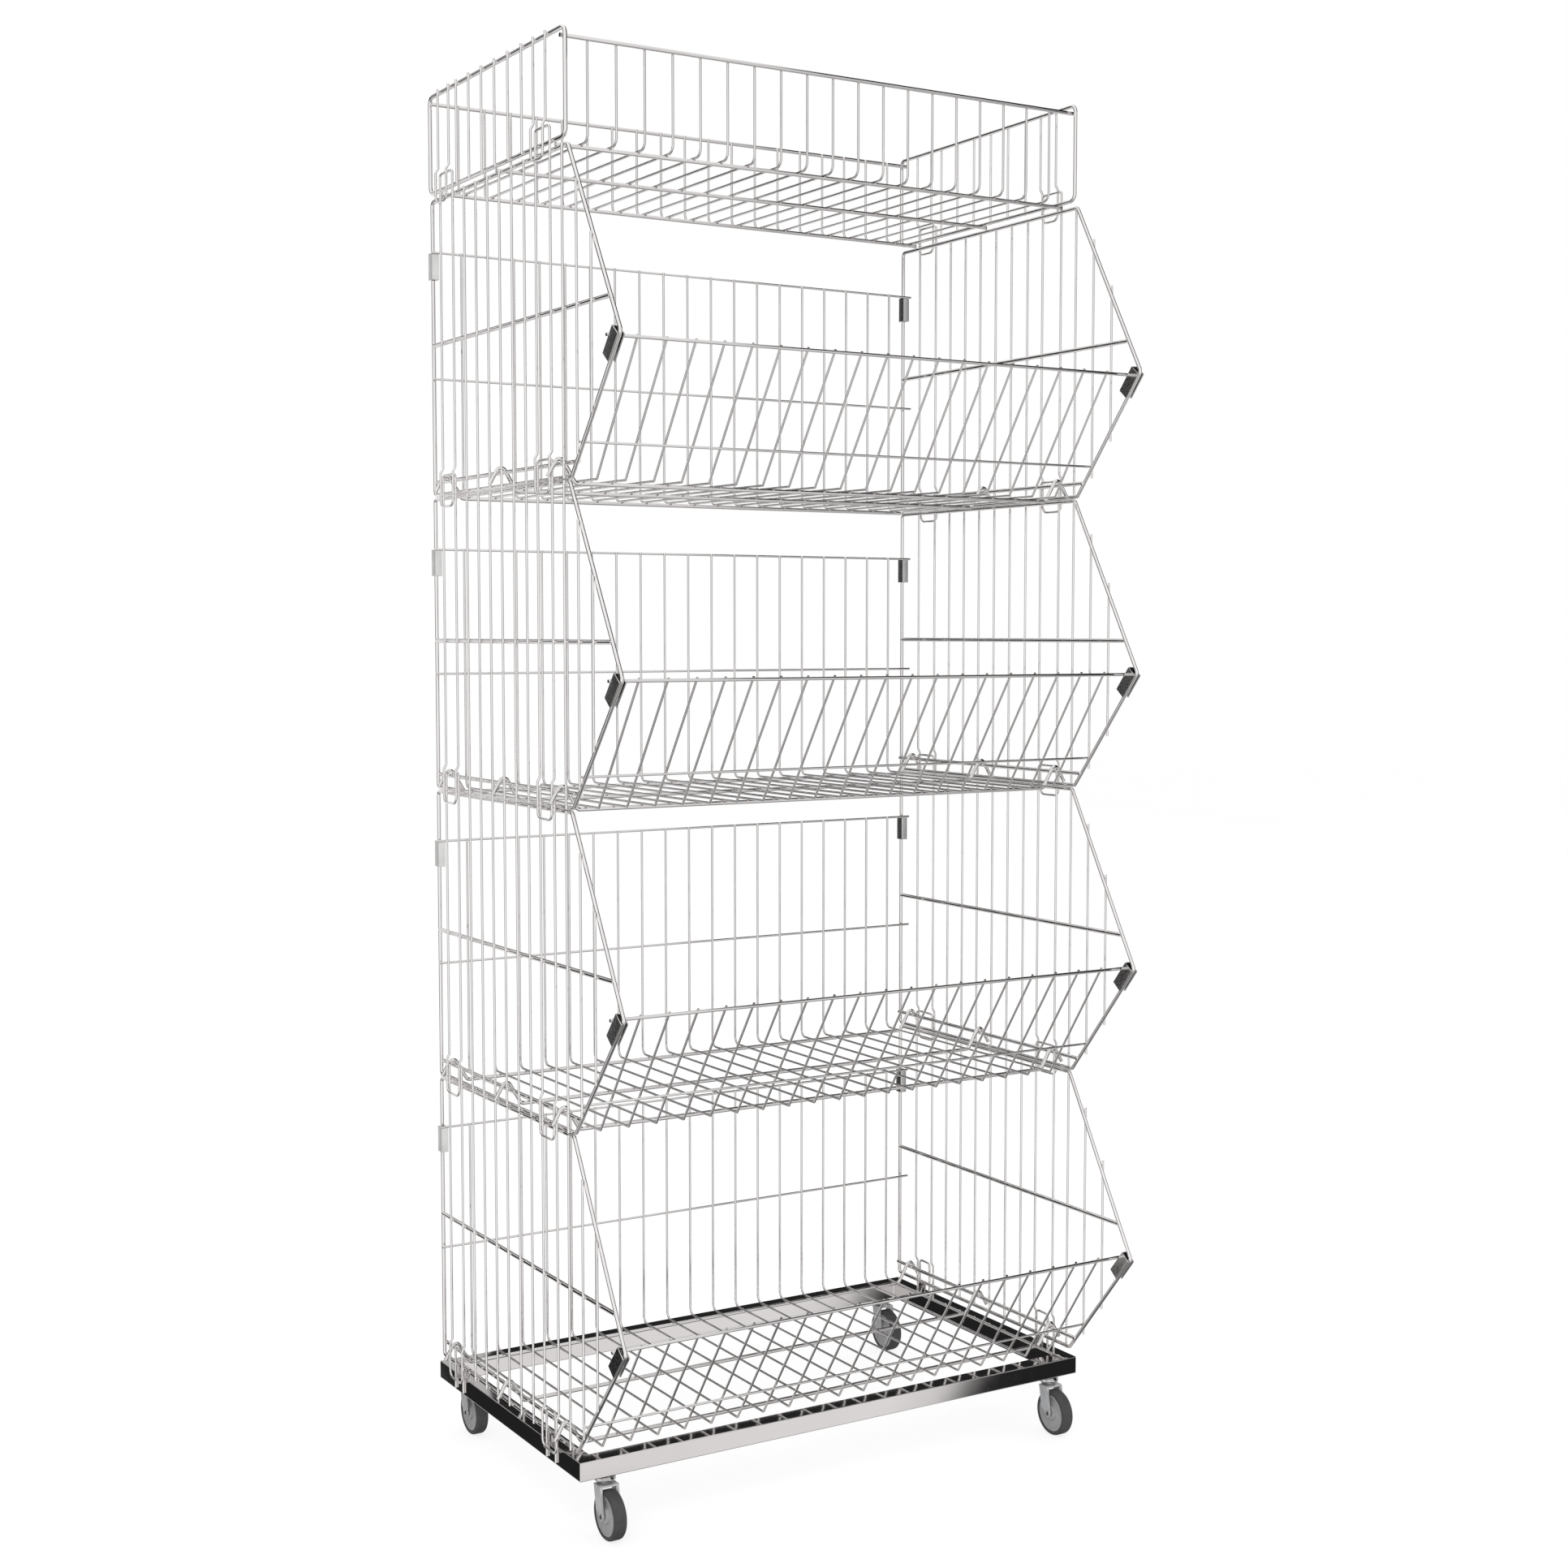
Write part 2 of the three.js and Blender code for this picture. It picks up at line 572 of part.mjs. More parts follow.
// The fork: two legs under a bridge, each with a flange along its front edge and an eye for the axle.
function castorFork() {
  const top = HEAD_TOP_Z - HEAD_H - GAP;
  const eye = [170, 215, 260, 305, 350].map((turn) => {
    const angle = THREE.MathUtils.degToRad(turn);
    return [-CASTOR_TRAIL + FORK_EYE_R * Math.cos(angle), AXLE_Z + FORK_EYE_R * Math.sin(angle)];
  });
  const heelZ = AXLE_Z + FORK_HEEL_UP;
  const leg = [[FORK_REAR, top], [-FORK_FRONT, top], ...eye, [-FORK_HEEL, heelZ]];
  const outer = FORK_WIDTH / 2;
  const right = [
    plate(leg, outer - FORK_SHEET, outer),
    box([outer - FORK_FLANGE, -FORK_FRONT, heelZ], [outer, FORK_SHEET - FORK_FRONT, top]),
  ];
  const bridge = box([-outer, -FORK_FRONT, top - FORK_SHEET], [outer, FORK_REAR, top]);
  const boreR = AXLE_R + GAP;
  const bore = lathe([[0, -FORK_WIDTH], [boreR, -FORK_WIDTH], [boreR, FORK_WIDTH], [0, FORK_WIDTH]], 10);
  return join([bridge, ...right, ...right.map(mirrored)]).subtract(onAxle(bore));
}

function castorAxle() {
  const half = FORK_WIDTH / 2 + AXLE_END;
  return onAxle(lathe([[0, -half], [AXLE_R, -half], [AXLE_R, half], [0, half]], 10));
}

function wheelCore() {
  const hub = HUB_WIDTH / 2;
  const rim = WHEEL_WIDTH / 2 - CORE_RIM_IN;
  const web = CORE_WEB / 2;
  const dish = CORE_R - CORE_RIM;
  const half = [[AXLE_R + GAP, hub], [HUB_R, hub], [HUB_R, web], [dish, web], [dish, rim], [CORE_R, rim]];
  const profile = [...half.map(([r, x]) => [r, -x]), ...half.reverse()];
  return onAxle(lathe(profile, 12));
}

function tyre() {
  const inner = (CORE_R + GAP) / Math.cos(Math.PI / TYRE_FACETS);
  const tread = TREAD_WIDTH / 2;
  const half = WHEEL_WIDTH / 2;
  const profile = [
    [inner, -half],
    [WHEEL_R - TREAD_STEP, -half],
    [WHEEL_R, -tread],
    [WHEEL_R, tread],
    [WHEEL_R - TREAD_STEP, half],
    [inner, half],
  ];
  return onAxle(lathe(profile, TYRE_FACETS).rotate([0, 0, 180 / TYRE_FACETS]));
}

const product = new THREE.Group();
product.name = "stacking_wire_basket_tower";

function addPiece(name, piece, look) {
  const mesh = piece.getMesh();
  const geometry = new THREE.BufferGeometry();
  geometry.setAttribute("position", new THREE.BufferAttribute(new Float32Array(mesh.vertProperties), 3));
  geometry.setIndex(Array.from(mesh.triVerts));
  const node = new THREE.Mesh(geometry, new THREE.MeshStandardMaterial(look));
  node.name = name;
  product.add(node);
}

addPiece("base_frame", baseFrame(), POLISHED);

const castorPieces = {
  castor_head: [castorHead(), POLISHED],
  castor_fork: [castorFork(), ZINC],
  castor_axle: [castorAxle(), ZINC],
  wheel_core: [wheelCore(), PLASTIC],
  tyre: [tyre(), RUBBER],
};
for (const [row, y] of [["front", CASTOR_FRONT_Y], ["rear", CASTOR_REAR_Y]]) {
  for (const [side, x] of [["left", -CASTOR_X], ["right", CASTOR_X]]) {
    for (const [name, [piece, look]] of Object.entries(castorPieces)) {
      addPiece(`${name}_${row}_${side}`, piece.translate([x, y, 0]), look);
    }
  }
}

const basketPieces = {
  tray: tray(),
  side_left: mirrored(sidePanel()),
  side_right: sidePanel(),
  front_clip_left: mirrored(frontClip()),
  front_clip_right: frontClip(),
  rear_clip_left: mirrored(rearClip()),
  rear_clip_right: rearClip(),
};
for (let tier = 0; tier < TIERS; tier += 1) {
  for (const [name, piece] of Object.entries(basketPieces)) {
    addPiece(`${name}_${tier + 1}`, piece.translate([0, 0, tier * TIER_PITCH]), STEEL);
  }
}

addPiece("top_basket_body", topBody(), STEEL);
addPiece("top_basket_side_left", mirrored(topSide()), STEEL);
addPiece("top_basket_side_right", topSide(), STEEL);

// The origin goes to the middle of the footprint, on the floor.
const bounds = new THREE.Box3().setFromObject(product);
const middle = bounds.getCenter(vec(0, 0, 0));
for (const node of product.children) {
  node.geometry.translate(-middle.x, -middle.y, -bounds.min.z);
  node.geometry.computeVertexNormals();
}

export default product;
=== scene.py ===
# %% [markdown]
# # A tower of stacking wire baskets on castors
# The object is a shop's dump-bin tower: four open-fronted wire baskets that stack on each other, a shallow
# basket on top, and a bright square-tube base that rolls on four castors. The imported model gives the
# frame, and this lesson dresses it: round wires instead of faceted ones, softened sheet edges and
# real-looking metals.

# %% Load the frame
import math

import bmesh
import bpy
from mathutils import Matrix, Quaternion, Vector


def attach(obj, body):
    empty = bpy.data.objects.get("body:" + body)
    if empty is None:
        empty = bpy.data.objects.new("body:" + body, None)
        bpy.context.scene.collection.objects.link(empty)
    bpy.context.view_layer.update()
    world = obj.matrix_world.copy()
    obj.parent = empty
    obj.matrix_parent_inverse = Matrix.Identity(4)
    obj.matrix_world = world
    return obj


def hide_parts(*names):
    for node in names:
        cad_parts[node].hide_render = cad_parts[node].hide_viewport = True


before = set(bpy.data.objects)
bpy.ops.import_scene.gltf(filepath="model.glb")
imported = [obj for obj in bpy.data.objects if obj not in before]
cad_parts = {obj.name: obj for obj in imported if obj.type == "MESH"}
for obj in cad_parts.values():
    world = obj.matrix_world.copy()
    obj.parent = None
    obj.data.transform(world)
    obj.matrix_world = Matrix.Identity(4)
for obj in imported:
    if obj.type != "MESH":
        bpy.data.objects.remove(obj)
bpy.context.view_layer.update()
print("nodes in the frame:", len(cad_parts))

# %% [markdown]
# ## Where things are
# The baskets were drawn with zero height where the lowest one rests and zero depth at the rear posts. The
# frame has its origin on the floor in the middle of the footprint, so one helper turns drawing millimetres
# into metres in the frame. Every later cell gives the object's sizes in the drawing's millimetres. The room,
# with its floor, cards and lamps, is in metres.

# %% Drawing millimetres to metres
MM_PER_M = 1000
REAR_POST_Y = 260.2042
SEAT_Z = 103.2307
SIDE_X = 366.7


def spot(x, y, z):
    return Vector((x, y + REAR_POST_Y, z + SEAT_Z)) / MM_PER_M


print("rear left post stands at", [round(v, 3) for v in spot(-SIDE_X, 0, 0)])

# %% [markdown]
# ## The camera
# The photograph looks slightly down from the front left. Its place and lens were worked out from the
# corners of the side panels, which are the same shape in every tier, so the tiers line up with the picture.

# %% Camera
LENS = 50.374
SENSOR_WIDTH = 36.0
CAMERA_PLACE = (-1465.4, -2692.3, 969.0)
LOOK_DOWN = 0.06942
LOOK_RIGHT = 0.54394
camera_data = bpy.data.cameras.new("photo_camera")
camera_data.lens = LENS
camera_data.sensor_width = SENSOR_WIDTH
camera = bpy.data.objects.new("photo_camera", camera_data)
camera.location = spot(*CAMERA_PLACE)
camera.rotation_euler = (math.pi / 2 - LOOK_DOWN, 0.0, -LOOK_RIGHT)
bpy.context.scene.collection.objects.link(camera)
bpy.context.scene.camera = camera
bpy.context.scene.view_settings.view_transform = "Standard"
print("camera height", round(camera.location.z, 3))

# %% [markdown]
# ## Finishes
# Chrome has almost no colour of its own: it shows what stands around it. What makes it look real is that it
# is not perfect. Each metal here gets a slow change of tone and a fine change of roughness from noise on
# Object coordinates, so no two wires shine in quite the same way.

# %% A helper for finishes
CLOUD_DETAIL = 4.0
FINE_DETAIL = 6.0
TONE_SPAN = (0.3, 0.7)
RELIEF_DEPTH = 0.4


def finish(name, light, dark, rough, metallic, grain, bump):
    # grain holds the scales of the slow noise and of the fine one
    material = bpy.data.materials.new(name)
    material.use_nodes = True
    nodes = material.node_tree.nodes
    links = material.node_tree.links
    shader = nodes["Principled BSDF"]
    shader.inputs["Metallic"].default_value = metallic
    where = nodes.new("ShaderNodeTexCoord")
    cloud = nodes.new("ShaderNodeTexNoise")
    cloud.inputs["Scale"].default_value = grain[0]
    cloud.inputs["Detail"].default_value = CLOUD_DETAIL
    links.new(where.outputs["Object"], cloud.inputs["Vector"])
    tone = nodes.new("ShaderNodeValToRGB")
    for stop, position, colour in zip(tone.color_ramp.elements, TONE_SPAN, (dark, light)):
        stop.position = position
        stop.color = (*colour, 1.0)
    links.new(cloud.outputs["Fac"], tone.inputs["Fac"])
    links.new(tone.outputs["Color"], shader.inputs["Base Color"])
    fine = nodes.new("ShaderNodeTexNoise")
    fine.inputs["Scale"].default_value = grain[1]
    fine.inputs["Detail"].default_value = FINE_DETAIL
    links.new(where.outputs["Object"], fine.inputs["Vector"])
    spread = nodes.new("ShaderNodeMapRange")
    spread.inputs["To Min"].default_value = rough[0]
    spread.inputs["To Max"].default_value = rough[1]
    links.new(fine.outputs["Fac"], spread.inputs["Value"])
    links.new(spread.outputs["Result"], shader.inputs["Roughness"])
    relief = nodes.new("ShaderNodeBump")
    relief.inputs["Strength"].default_value = bump
    relief.inputs["Distance"].default_value = RELIEF_DEPTH / MM_PER_M
    links.new(fine.outputs["Fac"], relief.inputs["Height"])
    links.new(relief.outputs["Normal"], shader.inputs["Normal"])
    return material


# %% The bright metals
chrome_wire = finish(
    "chrome_wire", light=(0.80, 0.78, 0.775), dark=(0.70, 0.68, 0.675), rough=(0.04, 0.09),
    metallic=1.0, grain=(5, 60), bump=0.0)
chrome_rod = finish(
    "chrome_rod", light=(0.88, 0.86, 0.855), dark=(0.80, 0.78, 0.775), rough=(0.03, 0.07),
    metallic=1.0, grain=(5, 60), bump=0.0)
clip_steel = finish(
    "clip_steel", light=(0.74, 0.735, 0.73), dark=(0.62, 0.615, 0.61), rough=(0.1, 0.2),
    metallic=1.0, grain=(40, 300), bump=0.02)
base_mirror = finish(
    "base_mirror", light=(0.69, 0.665, 0.66), dark=(0.65, 0.625, 0.62), rough=(0.03, 0.07),
    metallic=1.0, grain=(4, 80), bump=0.0)
head_chrome = finish(
    "head_chrome", light=(0.66, 0.655, 0.65), dark=(0.34, 0.335, 0.33), rough=(0.06, 0.14),
    metallic=1.0, grain=(160, 600), bump=0.0)
bright_metals = (chrome_wire, chrome_rod, clip_steel, base_mirror, head_chrome)
print("bright metals made:", len(bright_metals))

# %% The zinc, the plastic and the rubber
fork_zinc = finish(
    "fork_zinc", light=(0.66, 0.665, 0.675), dark=(0.54, 0.545, 0.555), rough=(0.22, 0.4),
    metallic=0.5, grain=(120, 900), bump=0.1)
axle_zinc = finish(
    "axle_zinc", light=(0.66, 0.66, 0.67), dark=(0.5, 0.5, 0.51), rough=(0.16, 0.3),
    metallic=1.0, grain=(150, 900), bump=0.08)
core_plastic = finish(
    "core_plastic", light=(0.34, 0.34, 0.345), dark=(0.29, 0.29, 0.295), rough=(0.35, 0.5),
    metallic=0.0, grain=(70, 900), bump=0.1)
tyre_rubber = finish(
    "tyre_rubber", light=(0.054, 0.054, 0.055), dark=(0.042, 0.042, 0.043), rough=(0.55, 0.75),
    metallic=0.0, grain=(90, 900), bump=0.2)
castor_finishes = (fork_zinc, axle_zinc, core_plastic, tyre_rubber)
print("other finishes made:", len(castor_finishes))

# %% [markdown]
# ## Round wires
# A wire is a path with a round section. A curve with a bevel depth gives exactly that, with closed ends, and
# one curve can hold all the wires of one thickness in a welded grid. Bends are drawn as short arcs. The
# curves are then made one mesh, so that it exports like every other piece.

# %% Bends
BEND_STEPS = 6


def bend(corners, radius, closed=False):
    # radius is in millimetres: one for every corner, or a tuple with one for each
    path = []
    count = len(corners)
    for i, corner in enumerate(corners):
        r = (radius[i] if isinstance(radius, tuple) else radius) / MM_PER_M
        if r == 0 or (not closed and i in (0, count - 1)):
            path.append(corner)
            continue
        back = (corners[i - 1] - corner).normalized()
        ahead = (corners[(i + 1) % count] - corner).normalized()
        half = back.angle(ahead) / 2
        middle = corner + (back + ahead).normalized() * (r / math.sin(half))
        start = corner + back * (r / math.tan(half)) - middle
        end = corner + ahead * (r / math.tan(half)) - middle
        turn = start.rotation_difference(end)
        for s in range(BEND_STEPS + 1):
            path.append(middle + Quaternion().slerp(turn, s / BEND_STEPS) @ start)
    return path


# %% [markdown]
# Every mesh is finished in the same way: doubles are merged, faces turned outwards and shaded smooth except
# at real edges. Then the piece is put on the body that it rides on, in the place of the solids it replaces.

# %% Finishing a piece
MERGE = 1e-6
SHARP_EDGE = math.radians(50)


def put(name, sheet, material, body, nodes, flats=False):
    bmesh.ops.remove_doubles(sheet, verts=sheet.verts, dist=MERGE)
    bmesh.ops.recalc_face_normals(sheet, faces=sheet.faces)
    for face in sheet.faces:
        face.smooth = True
        face.material_index = 0
    mesh = bpy.data.meshes.new(name)
    sheet.to_mesh(mesh)
    sheet.free()
    mesh.materials.clear()
    mesh.materials.append(material)
    mesh.set_sharp_from_angle(angle=SHARP_EDGE)
    piece = bpy.data.objects.new(name, mesh)
    if flats:
        piece.modifiers.new("even_normals", "WEIGHTED_NORMAL").keep_sharp = True
    bpy.context.scene.collection.objects.link(piece)
    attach(piece, body)
    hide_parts(*nodes)


# %% Wires
SECTION_STEPS = 4


def wires(name, paths, material, body, nodes):
    # paths holds (points, diameter in mm, closed) for each wire of the piece
    sheet = bmesh.new()
    for diameter in sorted({d for _, d, _ in paths}):
        curve = bpy.data.curves.new(name, "CURVE")
        curve.dimensions = "3D"
        curve.bevel_depth = diameter / 2 / MM_PER_M
        curve.bevel_resolution = SECTION_STEPS
        curve.use_fill_caps = True
        for points, d, closed in paths:
            if d != diameter:
                continue
            spline = curve.splines.new("POLY")
            spline.points.add(len(points) - 1)
            spline.use_cyclic_u = closed
            for knot, point in zip(spline.points, points):
                knot.co = (*point, 1.0)
        holder = bpy.data.objects.new(name + "_path", curve)
        bpy.context.scene.collection.objects.link(holder)
        view = bpy.context.evaluated_depsgraph_get()
        tube = bpy.data.meshes.new_from_object(holder.evaluated_get(view))
        sheet.from_mesh(tube)
        bpy.data.objects.remove(holder)
        bpy.data.meshes.remove(tube)
        bpy.data.curves.remove(curve)
    put(name, sheet, material, body, nodes)


# %% [markdown]
# ## A side panel
# A five-cornered rod frame carries a middle rod, a hanging rod low on the inside and thirteen upright wires.
# Two pairs of uprights are closed loops: above the panel they make a hairpin, below it a guide that is
# jogged outwards, so the next basket's loop slips over this one's hairpin when the baskets are stacked.

# %% Rods of a side panel
PITCH = 380.0
ROD = 5.0
LOW_Z = 5.3
TOP_FRONT_Y = -403.0
LOW_FRONT_Y = -408.0
NOSE_Y = -532.5
NOSE_Z = 156.0
FRAME_BENDS = (5.5, 5.5, 6, 5.5, 5.5)
ROD_REAR_Y = -0.4
MIDDLE_ROD = 5.4
MIDDLE_X = SIDE_X + 0.5
MIDDLE_Z = 197.0
MIDDLE_FRONT_Y = -508.4
HANGING_X = SIDE_X - 3
HANGING_Z = 22.0
HANGING_FRONT_Y = -421.3


def side_rods(at):
    frame_rod = [
        at(SIDE_X, 0, PITCH), at(SIDE_X, TOP_FRONT_Y, PITCH), at(SIDE_X, NOSE_Y, NOSE_Z),
        at(SIDE_X, LOW_FRONT_Y, LOW_Z), at(SIDE_X, 0, LOW_Z)]
    middle = [at(MIDDLE_X, ROD_REAR_Y, MIDDLE_Z), at(MIDDLE_X, MIDDLE_FRONT_Y, MIDDLE_Z)]
    hanging = [at(HANGING_X, ROD_REAR_Y, HANGING_Z), at(HANGING_X, HANGING_FRONT_Y, HANGING_Z)]
    return [
        (bend(frame_rod, FRAME_BENDS, True), ROD, True), (middle, MIDDLE_ROD, False),
        (hanging, ROD, False)]


# %% [markdown]
# The wires stand on the outside of the rods. A single upright ends just past the rods at its two ends, and
# where those rods slant, its ends follow the slant.

# %% Wires of a side panel
WIRE = 3.0
LOOP_X = SIDE_X + 4.3
GUIDE_X = LOOP_X + 3.3
REAR_PAIR = (-37.0, -77.0)
FRONT_PAIR = (-324.5, -364.0)
HAIRPIN_RISE = 28.4
JOG_TOP = 37.4
JOG_FOOT = 31.4
GUIDE_DROP = 11.6
LOOP_BENDS = (5, 5, 3, 3, 9, 9, 3, 3)
UPRIGHTS = [-113.5 - 35.7 * k for k in range(6)] + [-395.5, -432.0, -469.0]
PAST_ROD = 1.5
PAST_SLANT = 6.0


def lower_z(y):
    return LOW_Z + (y - LOW_FRONT_Y) / (NOSE_Y - LOW_FRONT_Y) * (NOSE_Z - LOW_Z)


def upper_z(y):
    return PITCH - (y - TOP_FRONT_Y) / (NOSE_Y - TOP_FRONT_Y) * (PITCH - NOSE_Z)


def side_wires(at):
    paths = []
    for rear, front in (REAR_PAIR, FRONT_PAIR):
        loop = [
            at(LOOP_X, rear, PITCH + HAIRPIN_RISE), at(LOOP_X, front, PITCH + HAIRPIN_RISE),
            at(LOOP_X, front, JOG_TOP), at(GUIDE_X, front, JOG_FOOT), at(GUIDE_X, front, -GUIDE_DROP),
            at(GUIDE_X, rear, -GUIDE_DROP), at(GUIDE_X, rear, JOG_FOOT), at(LOOP_X, rear, JOG_TOP)]
        paths.append((bend(loop, LOOP_BENDS, True), WIRE, True))
    for y in UPRIGHTS:
        low = LOW_Z - PAST_ROD if y > LOW_FRONT_Y else lower_z(y) - PAST_SLANT
        high = PITCH + PAST_ROD if y > TOP_FRONT_Y else upper_z(y) + PAST_SLANT
        paths.append(([at(LOOP_X, y, low), at(LOOP_X, y, high)], WIRE, False))
    return paths


# %% Side panels
TIERS = range(1, 5)
HANDS = (("left", -1), ("right", 1))


def side_paths(hand, z):
    def at(x, y, up):
        return spot(hand * x, y, z + up)

    return side_rods(at) + side_wires(at)


for tier in TIERS:
    for side, hand in HANDS:
        wires(
            f"panel_{side}_{tier}", side_paths(hand, PITCH * (tier - 1)), chrome_rod,
            f"basket_{tier}", [f"side_{side}_{tier}"])
print("side panels made:", len(TIERS) * len(HANDS))

# %% [markdown]
# ## A tray
# Nineteen wires run down the back, round a bend, along the floor and up the slanting front in one length.
# Thin wires cross them behind, and a thicker and a thin one in front. Crossing wires are welded, so each
# sinks into the other a little.

# %% Wires of a tray
GRID_PLACES = range(-9, 10)
GRID_STEP = 37.0
BACK_Y = -13.0
BACK_TOP_Z = 316.5
FLOOR_Z = 4.0
FOLD_Y = -403.6
LIP_Z = 157.1
LEAN = 0.6825
TRAY_BENDS = (0, 10, 2.5, 0)
WELD = 0.25
CROSS_Y = BACK_Y + WIRE - WELD
CROSS_Z = (315.0, 154.0)
CROSS_HALF = 373.0
ROD_OUTSIDE = SIDE_X + ROD / 2
# height on the front, distance before the wires, half length and thickness of the two front cross wires
FRONT_CROSSES = ((155.5, 2.9, CROSS_HALF, 4.0), (44.5, WIRE - WELD, ROD_OUTSIDE, WIRE))
normal_y = -1 / math.hypot(1, LEAN)
normal_z = -LEAN / math.hypot(1, LEAN)


def front_y(up):
    return FOLD_Y - LEAN * (up - FLOOR_Z)


def tray_wires(at):
    paths = []
    for k in GRID_PLACES:
        x = GRID_STEP * k
        line = [at(x, BACK_Y, BACK_TOP_Z), at(x, BACK_Y, FLOOR_Z), at(x, FOLD_Y, FLOOR_Z)]
        line.append(at(x, front_y(LIP_Z), LIP_Z))
        paths.append((bend(line, TRAY_BENDS), WIRE, False))
    for up in CROSS_Z:
        paths.append(([at(-CROSS_HALF, CROSS_Y, up), at(CROSS_HALF, CROSS_Y, up)], WIRE, False))
    for up, reach, end, thick in FRONT_CROSSES:
        y = front_y(up) + normal_y * reach
        lift = up + normal_z * reach
        paths.append(([at(-end, y, lift), at(end, y, lift)], thick, False))
    return paths


# %% [markdown]
# Three thicker rods cross below the floor. Their ends are bent up, over the side panels' hanging rods and
# down again, so the tray hangs on six hooks. A hook is a bend that fits the hanging rod, with two straight
# legs that slope away from it.

# %% Hooks of a tray
HOOK_Y = (-31.6, -202.75, -369.4)
HOOK_SLOPE = 0.59
HOOK_BEND = 6.1
FOOT_BEND = 6
HOOK_ROD_Z = FLOOR_Z - (ROD + WIRE) / 2 + WELD
HOOK_TIP_Z = 8.0
apex = HANGING_Z + HOOK_BEND * math.hypot(1, 1 / HOOK_SLOPE)
foot = HANGING_X - HOOK_SLOPE * (apex - HOOK_ROD_Z)
tip = HANGING_X + HOOK_SLOPE * (apex - HOOK_TIP_Z)


def tray_rods(at):
    paths = []
    for y in HOOK_Y:
        line = [
            at(-tip, y, HOOK_TIP_Z), at(-HANGING_X, y, apex), at(-foot, y, HOOK_ROD_Z),
            at(foot, y, HOOK_ROD_Z), at(HANGING_X, y, apex), at(tip, y, HOOK_TIP_Z)]
        paths.append((bend(line, (0, HOOK_BEND, FOOT_BEND, FOOT_BEND, HOOK_BEND, 0)), ROD, False))
    return paths


# %% Trays
def tray_paths(z):
    def at(x, y, up):
        return spot(x, y, z + up)

    return tray_wires(at) + tray_rods(at)


for tier in TIERS:
    wires(
        f"wire_tray_{tier}", tray_paths(PITCH * (tier - 1)), chrome_wire,
        f"basket_{tier}", [f"tray_{tier}"])
print("trays made:", len(TIERS), "wires along each:", len(GRID_PLACES))

# %% [markdown]
# ## The top basket
# It is welded up from a U-shaped grid between two thick rails and two rectangular side grids. Its floor rods
# rest on the rods of the basket below, and the end pairs of side wires drop down as guides.

# %% Sides of the top basket
TOP_Z = len(TIERS) * PITCH
TOP_LOW = TOP_Z + 10.6
TOP_EDGE = TOP_LOW + 122.0
TOP_REAR_END = 5.0
TOP_FRONT_END = -397.0
TOP_FRAME_BEND = 9
TOP_WIRE_X = LOOP_X - 0.5
TOP_WIRE_RISE = 4.0
TOP_UPRIGHTS = [-90.0 - 39.2 * k for k in range(6)]
TOP_PAIRS = ((-30.4, -64.9), (-319.0, -352.0))
TOP_GUIDE_DROP = 7.0
TOP_GUIDE_BENDS = (0, 3, 3, 9, 9, 3, 3, 0)


def top_side_paths(hand):
    def at(x, y, up):
        return spot(hand * x, y, up)

    frame_rod = [
        at(SIDE_X, TOP_REAR_END, TOP_EDGE), at(SIDE_X, TOP_FRONT_END, TOP_EDGE),
        at(SIDE_X, TOP_FRONT_END, TOP_LOW), at(SIDE_X, TOP_REAR_END, TOP_LOW)]
    paths = [(bend(frame_rod, TOP_FRAME_BEND, True), ROD, True)]
    high = TOP_EDGE + TOP_WIRE_RISE
    for y in TOP_UPRIGHTS:
        paths.append(([at(TOP_WIRE_X, y, TOP_LOW - PAST_ROD), at(TOP_WIRE_X, y, high)], WIRE, False))
    for rear, front in TOP_PAIRS:
        line = [
            at(TOP_WIRE_X, rear, high), at(TOP_WIRE_X, rear, TOP_Z + JOG_TOP),
            at(GUIDE_X, rear, TOP_Z + JOG_FOOT), at(GUIDE_X, rear, TOP_Z - TOP_GUIDE_DROP),
            at(GUIDE_X, front, TOP_Z - TOP_GUIDE_DROP), at(GUIDE_X, front, TOP_Z + JOG_FOOT),
            at(TOP_WIRE_X, front, TOP_Z + JOG_TOP), at(TOP_WIRE_X, front, high)]
        paths.append((bend(line, TOP_GUIDE_BENDS), WIRE, False))
    return paths


for side, hand in HANDS:
    wires(
        f"top_grid_{side}", top_side_paths(hand), chrome_rod,
        "top_basket", [f"top_basket_side_{side}"])
print("top basket's sides made:", len(HANDS))

# %% Body of the top basket
TOP_BACK_Y = -7.0
TOP_FRONT_GRID_Y = -385.0
TOP_GRID_BEND = 10
RAIL_Z = TOP_EDGE - 9
RAIL_Y = (-3.6, -388.6)
TOP_ROD_Z = TOP_Z + LOW_Z
TOP_FLOOR_Z = TOP_ROD_Z + (ROD + WIRE) / 2 - WELD


def top_body_paths():
    paths = []
    for k in GRID_PLACES:
        x = GRID_STEP * k
        line = [
            spot(x, TOP_BACK_Y, RAIL_Z + PAST_ROD), spot(x, TOP_BACK_Y, TOP_FLOOR_Z),
            spot(x, TOP_FRONT_GRID_Y, TOP_FLOOR_Z), spot(x, TOP_FRONT_GRID_Y, RAIL_Z + PAST_ROD)]
        paths.append((bend(line, TOP_GRID_BEND), WIRE, False))
    for y in RAIL_Y:
        paths.append(([spot(-ROD_OUTSIDE, y, RAIL_Z), spot(ROD_OUTSIDE, y, RAIL_Z)], ROD, False))
    for y in HOOK_Y:
        paths.append(([spot(-SIDE_X, y, TOP_ROD_Z), spot(SIDE_X, y, TOP_ROD_Z)], ROD, False))
    return paths


wires("top_grid_body", top_body_paths(), chrome_wire, "top_basket", ["top_basket_body"])
print("top basket's body made")

# %% [markdown]
# ## Clips
# The clips are folded from sheet, and folded sheet has soft edges. Each is a copy of its solid with the
# loose triangles merged and flattened back into faces, and every edge bevelled a little, so that it catches
# the light.

